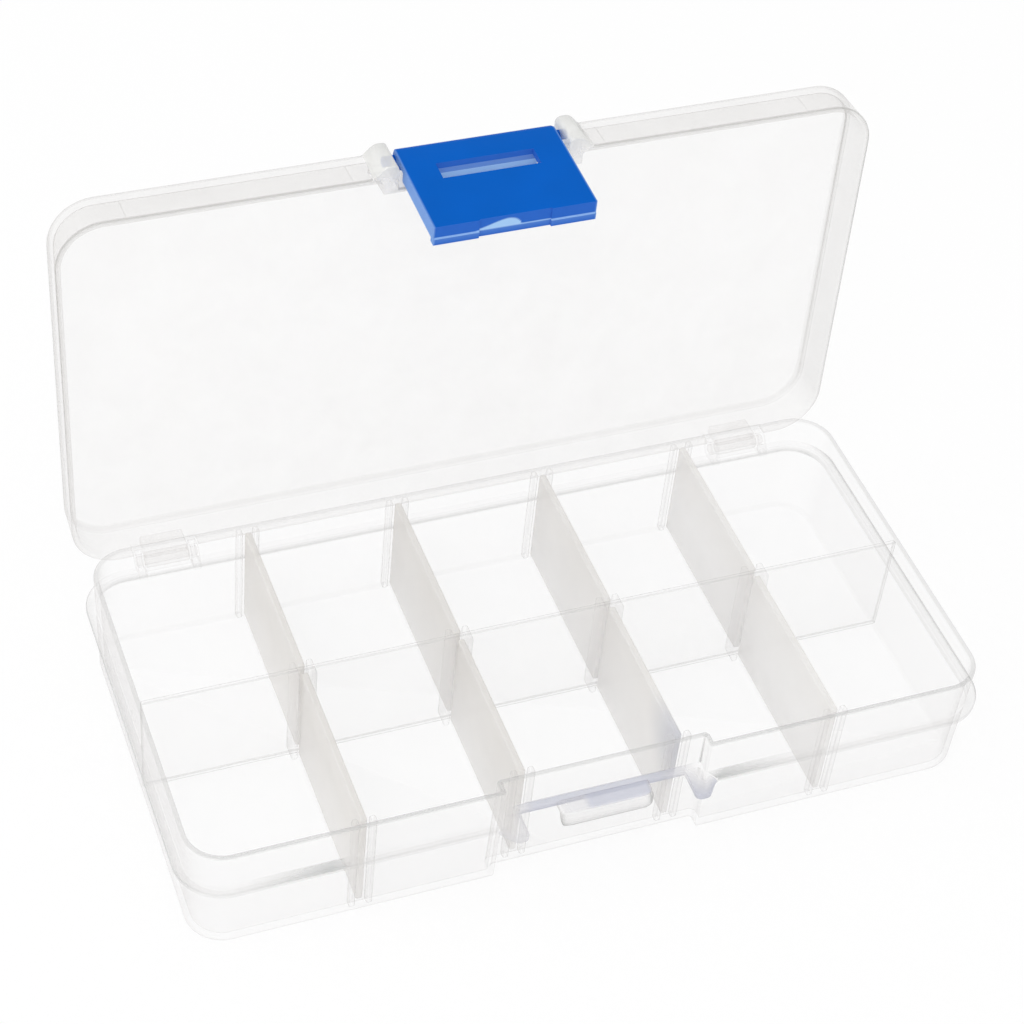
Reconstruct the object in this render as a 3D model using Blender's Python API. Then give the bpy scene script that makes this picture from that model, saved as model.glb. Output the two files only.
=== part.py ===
"""Compartment organizer box, modelled at its real size in metres, +Z up.

A clear tray with a centre wall and ribbed slots, eight lift-out dividers, a clear hinged lid that
stands open behind it, and a blue latch that hangs between two ears on the lid's front wall.
The origin is the middle of the tray's underside; +X runs along the box and -Y is the latch side.
The lid and the latch are drawn as they sit on the closed box and are then turned open.
"""

import math

import bmesh
import bpy
from mathutils import Vector

# Shared clearances
GAP = 0.0003            # between pieces that seat on or slide past each other
OVERRUN = 0.0010        # how far a cut runs past the material it removes
BITE = 0.0003           # how deep a joined boss or web sinks into its wall
WELD = 0.000001         # corners closer than this are one corner

# Smoothness of round stretches, in segments, and the least angle of a visible edge
CORNER_STEPS = 6
SMALL_STEPS = 4
EAR_STEPS = 7
BARREL_STEPS = 20
FLAT_DEGREES = 0.05
EDGE_DEGREES = 35

# Tray shell
TRAY_LENGTH = 0.1272    # outside, at the rim
TRAY_DEPTH = 0.0636
TRAY_HEIGHT = 0.0202
TRAY_CORNER = 0.0062
TRAY_WALL = 0.0008
TRAY_FLOOR = 0.0009
TRAY_DRAFT = 0.0004     # how far each wall leans in from the rim to the underside
FOOT_RADIUS = 0.0008

# Recess in the front wall, behind the latch
LATCH_WIDTH = 0.0253
RECESS_DEPTH = 0.0021
RECESS_JOG = 0.0009     # radius of the two bends at each end of the recess
RECESS_MARGIN = 0.0036  # from the latch's side to the end of the recess

# Flange that runs round the tray below the lid
FLANGE_TOP = 0.0139
FLANGE_THICKNESS = 0.0011
FLANGE_REACH = 0.00135
LEDGE_REACH = 0.0009    # the flange is narrower behind the latch

# Ears at both ends of the recess, on the flange and on the lid
EAR_CLEARANCE = 0.0008  # from the latch's side to each ear
EAR_TIP = 0.0016        # full-height part of an ear, along X
EAR_SLOPE = 0.0030      # S-shaped part of an ear, along X
EAR_REACH = 0.0022      # how far the lid's ears stand out from its front wall
EAR_LIP = 0.0006        # how far the flange's ears stand out past the lid's
EAR_ROUND = 0.0008

# Compartments
COLUMNS = 5
CENTRE_WALL = 0.0008
DIVIDER_THICKNESS = 0.0011
DIVIDER_DROP = 0.0003   # dividers end this far below the rim
RIB_WIDTH = 0.0010
RIB_REACH = 0.0012

# Lid
LID_WALL = 0.0008
LID_PLATE = 0.0012
LID_DRAFT = 0.0002
LID_EDGE = 0.0010       # rounding of the lid's outer top edge
OPEN_ANGLE = 92.0       # degrees between the closed lid and the lid as it stands

# Hinges at the back
HINGE_INSET = 0.0136    # from the rim's end to the middle of the hinge
HINGE_SETBACK = 0.0023  # from the rim's outside to the hinge axis
HINGE_RISE = 0.0002     # from the flange's top to the hinge axis
PIN_RADIUS = 0.0008
PIN_CLEARANCE = 0.0003
KNUCKLE_RADIUS = 0.0013
KNUCKLE_LENGTH = 0.0070
LUG_RADIUS = 0.0019
LUG_THICKNESS = 0.0012
WEB_THICKNESS = 0.0014

# Latch
LATCH_BARREL = 0.0016   # radius of the rolled end on the hinge pins
LATCH_BACK_GAP = 0.0004 # from the barrel to the lid's wall behind it
LATCH_PIVOT_DROP = 0.0029
LATCH_FOOT_GAP = 0.0008 # from the latch's free end to the table
LATCH_TILT = 3.5        # degrees that the free end leans in
LATCH_PLATE = 0.0011
LATCH_SIDE_WALL = 0.0012
LATCH_SIDE_DEPTH = 0.0026
LATCH_LIP_WALL = 0.0012
LATCH_LIP_DEPTH = 0.0033
LATCH_SHOULDER = 0.0038 # from the pivot down to where the side walls start
LATCH_GRIP_WIDTH = 0.0112
LATCH_GRIP_CUT = 0.00035
LATCH_PIN_LENGTH = 0.0020
LATCH_EDGE = 0.0003

# Tongue on the tray's flange, and the slot in the latch that drops over it
TONGUE_WIDTH = 0.0148
TONGUE_HEIGHT = 0.0023  # from the flange's top to the underside of the tongue's lip
TONGUE_LIP = 0.0009
TONGUE_NOSE = 0.0012    # radius of its rounded upper edge
TONGUE_SETBACK = 0.0002 # from the latch's face to the tongue's tip
SLOT_RISE = 0.0009      # room in the slot above the tongue

# Places worked out from the sizes above
HALF_LENGTH = TRAY_LENGTH / 2
HALF_DEPTH = TRAY_DEPTH / 2
RECESS_HALF = LATCH_WIDTH / 2 + RECESS_MARGIN
RECESS_Y = RECESS_DEPTH - HALF_DEPTH
FLANGE_BOTTOM = FLANGE_TOP - FLANGE_THICKNESS
EAR_INNER = LATCH_WIDTH / 2 + EAR_CLEARANCE
LID_BOTTOM = FLANGE_TOP + GAP
LID_TOP = TRAY_HEIGHT + GAP + LID_PLATE
LID_OFFSET = GAP + LID_WALL
LID_FRONT = -HALF_DEPTH - LID_OFFSET
LID_RECESS_Y = RECESS_Y - LID_OFFSET
HINGE_Y = HALF_DEPTH + HINGE_SETBACK
HINGE_Z = FLANGE_TOP + HINGE_RISE
HINGE_CENTRES = (HINGE_INSET - HALF_LENGTH, HALF_LENGTH - HINGE_INSET)
LUG_INNER = KNUCKLE_LENGTH / 2 + GAP
LUG_OUTER = LUG_INNER + LUG_THICKNESS
PIVOT_Y = LID_RECESS_Y - LATCH_BACK_GAP - LATCH_BARREL
PIVOT_Z = LID_TOP - LATCH_PIVOT_DROP
TONGUE_BOTTOM = FLANGE_TOP - TONGUE_HEIGHT
DIVIDER_PITCH = (TRAY_LENGTH - 2 * TRAY_WALL) / COLUMNS
DIVIDER_PLACES = [(i - COLUMNS / 2) * DIVIDER_PITCH for i in range(1, COLUMNS)]


def arc(centre, radius, start, end, steps):
    """Points of an arc in the XY plane, both ends included; angles in degrees."""
    points = []
    for i in range(steps + 1):
        angle = math.radians(start + (end - start) * i / steps)
        x = centre[0] + radius * math.cos(angle)
        y = centre[1] + radius * math.sin(angle)
        points.append((x, y))
    return points


def box_outline(offset, recess_y=None):
    """Rounded outline of the tray's rim, grown by offset, with the recess in its front edge.

    Every offset gives the same number of points, so outlines can be joined ring to ring.
    """
    half_x = HALF_LENGTH + offset
    half_y = HALF_DEPTH + offset
    corner = TRAY_CORNER + offset
    jog_x = RECESS_HALF - offset
    back_y = (RECESS_Y - offset) if recess_y is None else recess_y
    outer_jog = RECESS_JOG + offset / 2
    inner_jog = RECESS_JOG - offset / 2
    points = arc((half_x - corner, corner - half_y), corner, -90, 0, CORNER_STEPS)
    points += arc((half_x - corner, half_y - corner), corner, 0, 90, CORNER_STEPS)
    points += arc((corner - half_x, half_y - corner), corner, 90, 180, CORNER_STEPS)
    points += arc((corner - half_x, corner - half_y), corner, 180, 270, CORNER_STEPS)
    points += arc((-jog_x - outer_jog, outer_jog - half_y), outer_jog, -90, 0, SMALL_STEPS)
    points += arc((inner_jog - jog_x, back_y - inner_jog), inner_jog, 180, 90, SMALL_STEPS)
    points += arc((jog_x - inner_jog, back_y - inner_jog), inner_jog, 90, 0, SMALL_STEPS)
    points += arc((jog_x + outer_jog, outer_jog - half_y), outer_jog, 180, 270, SMALL_STEPS)
    return points


def ear_outline(side, wall_y, reach, inner, tip, slope, back_y):
    """Outline of one ear: a blunt tip beside the latch that falls away to the wall in an S."""
    front_y = wall_y - reach
    points = [(inner, back_y)]
    points += arc((inner + EAR_ROUND, front_y + EAR_ROUND), EAR_ROUND, 180, 270, SMALL_STEPS)
    for i in range(EAR_STEPS + 1):
        along = i / EAR_STEPS
        fall = (1 - math.cos(math.pi * along)) / 2
        points.append((inner + tip + slope * along, front_y + (reach + BITE) * fall))
    points.append((inner + tip + slope, back_y))
    return [(side * x, y) for x, y in points]


def loft(name, rings):
    """Closed solid through a stack of matching outlines, each given as (points, z)."""
    bm = bmesh.new()
    stack = [[bm.verts.new((x, y, z)) for x, y in points] for points, z in rings]
    for lower, upper in zip(stack, stack[1:]):
        for i in range(len(lower)):
            j = (i + 1) % len(lower)
            bm.faces.new((lower[i], lower[j], upper[j], upper[i]))
    bm.faces.new(reversed(stack[0]))
    bm.faces.new(stack[-1])
    return finish_mesh(name, bm)


def finish_mesh(name, bm):
    """Turns the faces outward and makes a mesh object of them."""
    bmesh.ops.recalc_face_normals(bm, faces=bm.faces)
    mesh = bpy.data.meshes.new(name)
    bm.to_mesh(mesh)
    bm.free()
    obj = bpy.data.objects.new(name, mesh)
    bpy.context.collection.objects.link(obj)
    return obj


def prism(name, points, low, high, axis="Z"):
    """Solid between two planes; for axis X the points are (y, z) pairs."""
    bm = bmesh.new()
    if axis == "X":
        ends = [[bm.verts.new((x, a, b)) for a, b in points] for x in (low, high)]
    else:
        ends = [[bm.verts.new((a, b, z)) for a, b in points] for z in (low, high)]
    for i in range(len(points)):
        j = (i + 1) % len(points)
        bm.faces.new((ends[0][i], ends[0][j], ends[1][j], ends[1][i]))
    bm.faces.new(reversed(ends[0]))
    bm.faces.new(ends[1])
    return finish_mesh(name, bm)


def block(name, low, high):
    """Box between two opposite corners."""
    outline = [(low[0], low[1]), (high[0], low[1]), (high[0], high[1]), (low[0], high[1])]
    return prism(name, outline, low[2], high[2])


def bar(name, centre_x, y, z, radius, length):
    """Round bar along X."""
    circle = arc((y, z), radius, 0, 360, BARREL_STEPS)[:-1]
    return prism(name, circle, centre_x - length / 2, centre_x + length / 2, axis="X")


def combine(target, tools, operation):
    """Joins tools to the target or cuts them out of it, and removes them from the scene."""
    for tool in tools:
        modifier = target.modifiers.new(operation.title(), "BOOLEAN")
        modifier.operation = operation
        modifier.solver = "EXACT"
        modifier.object = tool
        depsgraph = bpy.context.evaluated_depsgraph_get()
        mesh = bpy.data.meshes.new_from_object(target.evaluated_get(depsgraph))
        target.modifiers.remove(modifier)
        old_mesh = target.data
        target.data = mesh
        bpy.data.meshes.remove(old_mesh)
        tool_mesh = tool.data
        bpy.data.objects.remove(tool)
        bpy.data.meshes.remove(tool_mesh)
    return target


def clean(obj):
    """Welds stray slivers that the boolean cuts leave and shades round stretches smooth."""
    bm = bmesh.new()
    bm.from_mesh(obj.data)
    flat = math.radians(FLAT_DEGREES)
    bmesh.ops.remove_doubles(bm, verts=bm.verts, dist=WELD)
    bmesh.ops.dissolve_limit(bm, angle_limit=flat, verts=bm.verts, edges=bm.edges, delimit={"NORMAL"})
    bmesh.ops.triangulate(bm, faces=bm.faces)
    bm.to_mesh(obj.data)
    bm.free()
    obj.data.shade_smooth()
    obj.data.set_sharp_from_angle(angle=math.radians(EDGE_DEGREES))


def plastic(name, colour, roughness, transmission):
    """Principled plastic; colour is linear RGB."""
    material = bpy.data.materials.new(name)
    material.use_nodes = True
    shader = material.node_tree.nodes["Principled BSDF"]
    shader.inputs["Base Color"].default_value = (*colour, 1.0)
    shader.inputs["Roughness"].default_value = roughness
    shader.inputs["Metallic"].default_value = 0.0
    shader.inputs["Transmission Weight"].default_value = transmission
    shader.inputs["IOR"].default_value = 1.49
    material.diffuse_color = (*colour, 1.0)
    return material


def move_origin(obj, place):
    """Puts the object's origin at place without moving its surface."""
    for vertex in obj.data.vertices:
        vertex.co -= Vector(place)
    obj.location = place


def inner_draft(height):
    """How far the drafted walls have leaned in at a height above the table."""
    return TRAY_DRAFT * (1 - height / TRAY_HEIGHT)


def tray_shell():
    """Outside of the tray, with a rounded foot and leaning walls."""
    rings = []
    for i in range(SMALL_STEPS + 1):
        angle = math.radians(90 * i / SMALL_STEPS)
        height = FOOT_RADIUS * (1 - math.cos(angle))
        inset = FOOT_RADIUS * (1 - math.sin(angle))
        rings.append((box_outline(-inset - inner_draft(height)), height))
    rings.append((box_outline(0), TRAY_HEIGHT))
    return loft("tray", rings)


def tray_flange():
    """Flat band round the tray, with an ear at each end of the recess."""
    band = box_outline(FLANGE_REACH, recess_y=RECESS_Y - LEDGE_REACH)
    flange = prism("flange", band, FLANGE_BOTTOM, FLANGE_TOP)
    ears = []
    for side in (-1, 1):
        outline = ear_outline(
            side,
            wall_y=-HALF_DEPTH - FLANGE_REACH,
            reach=EAR_REACH + EAR_LIP + LID_OFFSET - FLANGE_REACH,
            inner=EAR_INNER,
            tip=EAR_TIP,
            slope=EAR_SLOPE,
            back_y=RECESS_Y + BITE,
        )
        ears.append(prism("flange_ear", outline, FLANGE_BOTTOM, FLANGE_TOP))
    return combine(flange, ears, "UNION")


def compartment_cutter():
    """The space inside the tray, less the centre wall and the ribs beside each divider."""
    floor_ring = box_outline(-TRAY_WALL - inner_draft(TRAY_FLOOR))
    rim_ring = box_outline(-TRAY_WALL)
    cutter = loft(
        "compartments",
        [(floor_ring, TRAY_FLOOR), (rim_ring, TRAY_HEIGHT), (rim_ring, TRAY_HEIGHT + OVERRUN)],
    )
    low = TRAY_FLOOR - OVERRUN
    high = TRAY_HEIGHT + 2 * OVERRUN
    wall_half = CENTRE_WALL / 2
    walls = [block("centre_wall", (-HALF_LENGTH, -wall_half, low), (HALF_LENGTH, wall_half, high))]
    slot_half = DIVIDER_THICKNESS / 2 + GAP
    for place in DIVIDER_PLACES:
        recessed = abs(place) - slot_half - RIB_WIDTH < RECESS_HALF
        front_y = (RECESS_Y if recessed else -HALF_DEPTH) + TRAY_WALL
        rear_y = HALF_DEPTH - TRAY_WALL
        spans = (
            (front_y - OVERRUN, front_y + RIB_REACH),
            (-wall_half - RIB_REACH, wall_half + RIB_REACH),
            (rear_y - RIB_REACH, rear_y + OVERRUN),
        )
        for side in (-1, 1):
            edges = sorted((place + side * slot_half, place + side * (slot_half + RIB_WIDTH)))
            for near, far in spans:
                walls.append(block("rib", (edges[0], near, low), (edges[1], far, high)))
    return combine(cutter, walls, "DIFFERENCE")


def tray_tongue():
    """Tongue with a rounded nose and a lip that turns down; its tip ends at the latch's face."""
    tilt = math.radians(LATCH_TILT)
    face_y = PIVOT_Y - LATCH_BARREL / math.cos(tilt) + (PIVOT_Z - FLANGE_TOP) * math.tan(tilt)
    tip_y = face_y + TONGUE_SETBACK
    root_y = RECESS_Y - LEDGE_REACH + BITE
    profile = [(root_y, FLANGE_TOP)]
    profile += arc((tip_y + TONGUE_NOSE, FLANGE_TOP - TONGUE_NOSE), TONGUE_NOSE, 90, 180, SMALL_STEPS)
    profile.append((tip_y, TONGUE_BOTTOM))
    profile.append((tip_y + TONGUE_LIP, TONGUE_BOTTOM))
    profile.append((tip_y + 2 * TONGUE_LIP, FLANGE_BOTTOM))
    profile.append((root_y, FLANGE_BOTTOM))
    return prism("tongue", profile, -TONGUE_WIDTH / 2, TONGUE_WIDTH / 2, axis="X")


def hinge_lugs(centre):
    """Two lugs with pin holes that stand behind the flange on either side of a knuckle."""
    lugs = []
    for side in (-1, 1):
        edges = sorted((centre + side * LUG_INNER, centre + side * LUG_OUTER))
        profile = [(HALF_DEPTH - TRAY_DRAFT - BITE, HINGE_Z - LUG_RADIUS)]
        profile += arc((HINGE_Y, HINGE_Z), LUG_RADIUS, -90, 120, BARREL_STEPS // 2)
        profile.append((HALF_DEPTH - BITE, FLANGE_TOP))
        lugs.append(prism("lug", profile, edges[0], edges[1], axis="X"))
    return lugs


def build_tray():
    """Tray in one piece: shell, flange, tongue, lugs, centre wall and ribs."""
    tray = tray_shell()
    combine(tray, [tray_flange(), tray_tongue()], "UNION")
    knuckle_room = []
    holes = []
    for centre in HINGE_CENTRES:
        combine(tray, hinge_lugs(centre), "UNION")
        room_y = HINGE_Y - KNUCKLE_RADIUS - GAP
        low = (centre - LUG_INNER, room_y, FLANGE_BOTTOM - OVERRUN)
        high = (centre + LUG_INNER, HINGE_Y, FLANGE_TOP + OVERRUN)
        knuckle_room.append(block("knuckle_room", low, high))
        reach = 2 * (LUG_OUTER + OVERRUN)
        holes.append(bar("pin_hole", centre, HINGE_Y, HINGE_Z, PIN_RADIUS + PIN_CLEARANCE, reach))
    combine(tray, [compartment_cutter()] + knuckle_room + holes, "DIFFERENCE")
    clean(tray)
    return tray


def build_divider(name, place, low_y, high_y):
    """Flat plate that drops into the ribbed slot at place."""
    low = (place - DIVIDER_THICKNESS / 2, low_y, TRAY_FLOOR + GAP)
    high = (place + DIVIDER_THICKNESS / 2, high_y, TRAY_HEIGHT - DIVIDER_DROP)
    divider = block(name, low, high)
    move_origin(divider, (place, (low_y + high_y) / 2, TRAY_FLOOR + GAP))
    clean(divider)
    return divider


def build_dividers():
    """Four dividers in front of the centre wall and four behind it."""
    dividers = []
    wall_side = CENTRE_WALL / 2 + GAP
    lean = TRAY_WALL + TRAY_DRAFT + GAP
    for number, place in enumerate(DIVIDER_PLACES, 1):
        recessed = abs(place) - DIVIDER_THICKNESS / 2 < RECESS_HALF
        front_y = (RECESS_Y if recessed else -HALF_DEPTH) + lean
        dividers.append(build_divider(f"divider_front_{number}", place, front_y, -wall_side))
        dividers.append(build_divider(f"divider_rear_{number}", place, wall_side, HALF_DEPTH - lean))
    return dividers


def lid_ears():
    """Ears beside the latch, which hold its pins; they follow the flange's ears."""
    ears = []
    for side in (-1, 1):
        outline = ear_outline(
            side,
            wall_y=LID_FRONT,
            reach=EAR_REACH,
            inner=EAR_INNER,
            tip=EAR_TIP,
            slope=EAR_SLOPE,
            back_y=LID_RECESS_Y + BITE,
        )
        ears.append(prism("lid_ear", outline, LID_BOTTOM, LID_TOP - LID_EDGE))
    return ears


def hinge_knuckle(centre):
    """Knuckle with a pin at each end, and the web that ties it to the lid's rear wall."""
    knuckle = bar("knuckle", centre, HINGE_Y, HINGE_Z, KNUCKLE_RADIUS, KNUCKLE_LENGTH)
    pin = bar("pin", centre, HINGE_Y, HINGE_Z, PIN_RADIUS, 2 * LUG_OUTER)
    wall_y = HALF_DEPTH + LID_OFFSET - BITE
    low = (centre - KNUCKLE_LENGTH / 2, wall_y - LID_DRAFT, LID_BOTTOM)
    high = (centre + KNUCKLE_LENGTH / 2, wall_y + WEB_THICKNESS, LID_BOTTOM + 2 * LUG_RADIUS)
    web = block("web", low, high)
    return combine(knuckle, [pin, web], "UNION")


def build_lid():
    """Lid in one piece, drawn closed about the hinge axis and then turned open."""
    rings = [(box_outline(LID_OFFSET + LID_DRAFT), LID_BOTTOM)]
    for i in range(SMALL_STEPS + 1):
        angle = math.radians(90 * i / SMALL_STEPS)
        height = LID_TOP - LID_EDGE * (1 - math.sin(angle))
        inset = LID_EDGE * (1 - math.cos(angle))
        rings.append((box_outline(LID_OFFSET - inset), height))
    lid = loft("lid", rings)
    combine(lid, lid_ears(), "UNION")
    ceiling = box_outline(GAP)
    mouth = box_outline(GAP + LID_DRAFT)
    cavity = loft(
        "lid_cavity",
        [(mouth, LID_BOTTOM - OVERRUN), (mouth, LID_BOTTOM), (ceiling, TRAY_HEIGHT + GAP)],
    )
    cuts = [cavity]
    window_half = LUG_OUTER + GAP
    window_top = HINGE_Z + LUG_RADIUS + GAP
    for centre in HINGE_CENTRES:
        low = (centre - window_half, HALF_DEPTH - OVERRUN, LID_BOTTOM - OVERRUN)
        high = (centre + window_half, HINGE_Y, window_top)
        cuts.append(block("hinge_window", low, high))
    bore_depth = LATCH_PIN_LENGTH - EAR_CLEARANCE + GAP
    bore_reach = 2 * (EAR_INNER + bore_depth)
    bore = bar("latch_bore", 0, PIVOT_Y, PIVOT_Z, PIN_RADIUS + PIN_CLEARANCE, bore_reach)
    combine(lid, cuts + [bore], "DIFFERENCE")
    combine(lid, [hinge_knuckle(centre) for centre in HINGE_CENTRES], "UNION")
    clean(lid)
    move_origin(lid, (0, HINGE_Y, HINGE_Z))
    lid.rotation_euler.x = math.radians(-OPEN_ANGLE)
    return lid


def build_latch(lid):
    """Latch drawn about its pivot with its face along Z, then tilted and hung on the lid."""
    tilt = math.radians(LATCH_TILT)
    half = LATCH_WIDTH / 2
    foot = (LATCH_FOOT_GAP - PIVOT_Z) / math.cos(tilt)
    face = -LATCH_BARREL
    profile = [(face, foot + LATCH_EDGE)]
    profile.append((face + LATCH_EDGE, foot))
    profile.append((face + LATCH_PLATE, foot))
    profile.append((face + LATCH_PLATE, -LATCH_BARREL))
    profile += arc((0, 0), LATCH_BARREL, -60, 180, BARREL_STEPS // 2)
    latch = prism("latch", profile, -half, half, axis="X")
    parts = []
    shoulder = -LATCH_SHOULDER
    side_profile = [
        (face + LATCH_PLATE - BITE, foot),
        (face + LATCH_SIDE_DEPTH, foot),
        (face + LATCH_SIDE_DEPTH, shoulder),
        (face + LATCH_PLATE - BITE, shoulder),
    ]
    parts.append(prism("side_left", side_profile, -half, LATCH_SIDE_WALL - half, axis="X"))
    parts.append(prism("side_right", side_profile, half - LATCH_SIDE_WALL, half, axis="X"))
    lip_low = (-half, face + LATCH_PLATE - BITE, foot)
    lip_high = (half, face + LATCH_LIP_DEPTH, foot + LATCH_LIP_WALL)
    parts.append(block("lip", lip_low, lip_high))
    parts.append(bar("latch_pin", 0, 0, 0, PIN_RADIUS, LATCH_WIDTH + 2 * LATCH_PIN_LENGTH))
    combine(latch, parts, "UNION")
    slot_half = TONGUE_WIDTH / 2 + GAP
    slot_bottom = (TONGUE_BOTTOM - GAP - PIVOT_Z) / math.cos(tilt)
    slot_top = (FLANGE_TOP + SLOT_RISE - PIVOT_Z) / math.cos(tilt)
    slot_low = (-slot_half, face - OVERRUN, slot_bottom)
    slot_high = (slot_half, face + LATCH_PLATE + OVERRUN, slot_top)
    grip_low = (-LATCH_GRIP_WIDTH / 2, face + LATCH_PLATE, foot - OVERRUN)
    grip_high = (LATCH_GRIP_WIDTH / 2, face + LATCH_LIP_DEPTH + OVERRUN, foot + LATCH_GRIP_CUT)
    cuts = [block("slot", slot_low, slot_high), block("grip", grip_low, grip_high)]
    combine(latch, cuts, "DIFFERENCE")
    clean(latch)
    latch.parent = lid
    latch.location = (0, PIVOT_Y - HINGE_Y, PIVOT_Z - HINGE_Z)
    latch.rotation_euler.x = tilt
    return latch


def build_box():
    """Builds every piece and gives each its material."""
    for obj in list(bpy.data.objects):
        bpy.data.objects.remove(obj)
    clear = plastic("Clear polypropylene", (0.90, 0.92, 0.92), 0.12, 0.9)
    frosted = plastic("Frosted polypropylene", (0.76, 0.77, 0.74), 0.45, 0.6)
    blue = plastic("Blue polypropylene", (0.004, 0.12, 0.55), 0.35, 0.0)
    lid = build_lid()
    pieces = {clear: [build_tray(), lid], frosted: build_dividers(), blue: [build_latch(lid)]}
    for material, objects in pieces.items():
        for obj in objects:
            obj.data.materials.clear()
            obj.data.materials.append(material)


build_box()
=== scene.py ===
"""Looks of the compartment organizer box: a clear tray with eight frosted dividers, a clear lid that
stands open behind it, and a blue latch that hangs from the lid's front wall."""

import math

import bmesh
import bpy
import numpy as np
from mathutils import Matrix, Vector


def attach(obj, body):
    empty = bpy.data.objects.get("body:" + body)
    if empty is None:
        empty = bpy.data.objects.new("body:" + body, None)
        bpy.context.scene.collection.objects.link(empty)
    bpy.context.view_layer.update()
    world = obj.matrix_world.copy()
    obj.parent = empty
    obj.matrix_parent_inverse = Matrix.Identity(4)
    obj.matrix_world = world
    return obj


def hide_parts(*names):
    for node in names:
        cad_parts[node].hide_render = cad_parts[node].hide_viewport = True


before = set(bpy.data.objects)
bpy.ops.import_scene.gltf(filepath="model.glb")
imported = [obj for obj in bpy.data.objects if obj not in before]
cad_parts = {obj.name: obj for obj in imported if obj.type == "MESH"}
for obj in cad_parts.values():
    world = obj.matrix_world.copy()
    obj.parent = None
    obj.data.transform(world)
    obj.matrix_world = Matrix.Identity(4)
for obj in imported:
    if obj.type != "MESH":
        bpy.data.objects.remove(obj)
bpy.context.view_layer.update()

# The studio: a white table under an even white sky, with one large soft lamp above and behind the
# camera and a weaker one at the left. The camera's place and lens were solved from the box's edges.

MM = 0.001


def linear(hex_colour, alpha=1.0):
    """Linear RGBA of an sRGB hex colour: the sRGB curve is undone on each channel."""
    srgb = np.array([int(hex_colour[i:i + 2], 16) for i in (1, 3, 5)]) / 255
    rgb = np.where(srgb <= 0.04045, srgb / 12.92, ((srgb + 0.055) / 1.055) ** 2.4)
    return (*rgb.tolist(), alpha)


def node(tree, kind, settings=None, **inputs):
    """Adds a node, gives it its settings, and sets or links each named input ('Base_Color' means
    'Base Color', and a number after two underscores picks one of several inputs of that name)."""
    made = tree.nodes.new(kind)
    for key, value in (settings or {}).items():
        setattr(made, key, value)
    for key, value in inputs.items():
        label, _, number = key.partition("__")
        sockets = [s for s in made.inputs if s.name == label.replace("_", " ")]
        socket = sockets[int(number or 0)]
        if isinstance(value, bpy.types.NodeSocket):
            tree.links.new(value, socket)
        else:
            socket.default_value = value
    return made


def new_tree(owner):
    """Empty node tree of a material or world."""
    owner.use_nodes = True
    owner.node_tree.nodes.clear()
    return owner.node_tree


CAMERA_PLACE = Vector((-119.46, -247.02, 311.18)) * MM
CAMERA_YAW, CAMERA_PITCH, CAMERA_ROLL = (math.radians(a) for a in (-24.66, -44.40, 6.49))
CAMERA_LENS = 90.24

forward = Vector((
    -math.sin(CAMERA_YAW) * math.cos(CAMERA_PITCH),
    math.cos(CAMERA_YAW) * math.cos(CAMERA_PITCH),
    math.sin(CAMERA_PITCH),
))
level = forward.cross(Vector((0, 0, 1))).normalized()
upward = level.cross(forward)
right = level * math.cos(CAMERA_ROLL) + upward * math.sin(CAMERA_ROLL)
top = -level * math.sin(CAMERA_ROLL) + upward * math.cos(CAMERA_ROLL)
camera = bpy.data.objects.new("camera", bpy.data.cameras.new("camera"))
bpy.context.scene.collection.objects.link(camera)
camera.matrix_world = Matrix.Translation(CAMERA_PLACE) @ Matrix((right, top, -forward)).transposed().to_4x4()
camera.data.lens = CAMERA_LENS
camera.data.sensor_width = 36
camera.data.clip_start = 0.01
camera.data.clip_end = 20
bpy.context.scene.camera = camera
bpy.context.scene.view_settings.view_transform = "Standard"
bpy.context.scene.cycles.transparent_max_bounces = 48  # a ray crosses up to some thirty thin clear faces

world = bpy.data.worlds.new("white studio")
bpy.context.scene.world = world
sky = new_tree(world)
rays = node(sky, "ShaderNodeLightPath").outputs
seen = rays["Is Camera Ray"]
for ray in ("Is Glossy Ray", "Is Transmission Ray"):
    seen = node(sky, "ShaderNodeMath", {"operation": "MAXIMUM"}, Value__0=seen, Value__1=rays[ray]).outputs[0]
lit = node(sky, "ShaderNodeBackground", Color=linear("#FFFFFF"), Strength=0.80)
shown = node(sky, "ShaderNodeBackground", Color=linear("#FFFFFF"), Strength=1.0)
mixed = node(sky, "ShaderNodeMixShader", Fac=seen, Shader__0=lit.outputs[0], Shader__1=shown.outputs[0])
node(sky, "ShaderNodeOutputWorld", Surface=mixed.outputs[0])


def soft_lamp(name, place, target, size, power):
    """Square area lamp at place, turned towards target; places in mm, size in m, power in W."""
    lamp = bpy.data.lights.new(name, "AREA")
    lamp.size, lamp.energy = size, power
    made = bpy.data.objects.new(name, lamp)
    bpy.context.scene.collection.objects.link(made)
    away = (Vector(place) - Vector(target)) * MM
    turn = away.to_track_quat("Z", "Y").to_matrix().to_4x4()
    made.matrix_world = Matrix.Translation(Vector(place) * MM) @ turn


soft_lamp("key lamp", (-500, -700, 1100), (0, 20, 30), 0.9, 4.6)
soft_lamp("side lamp", (-900, 200, 500), (0, 20, 40), 0.7, 1.2)

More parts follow.
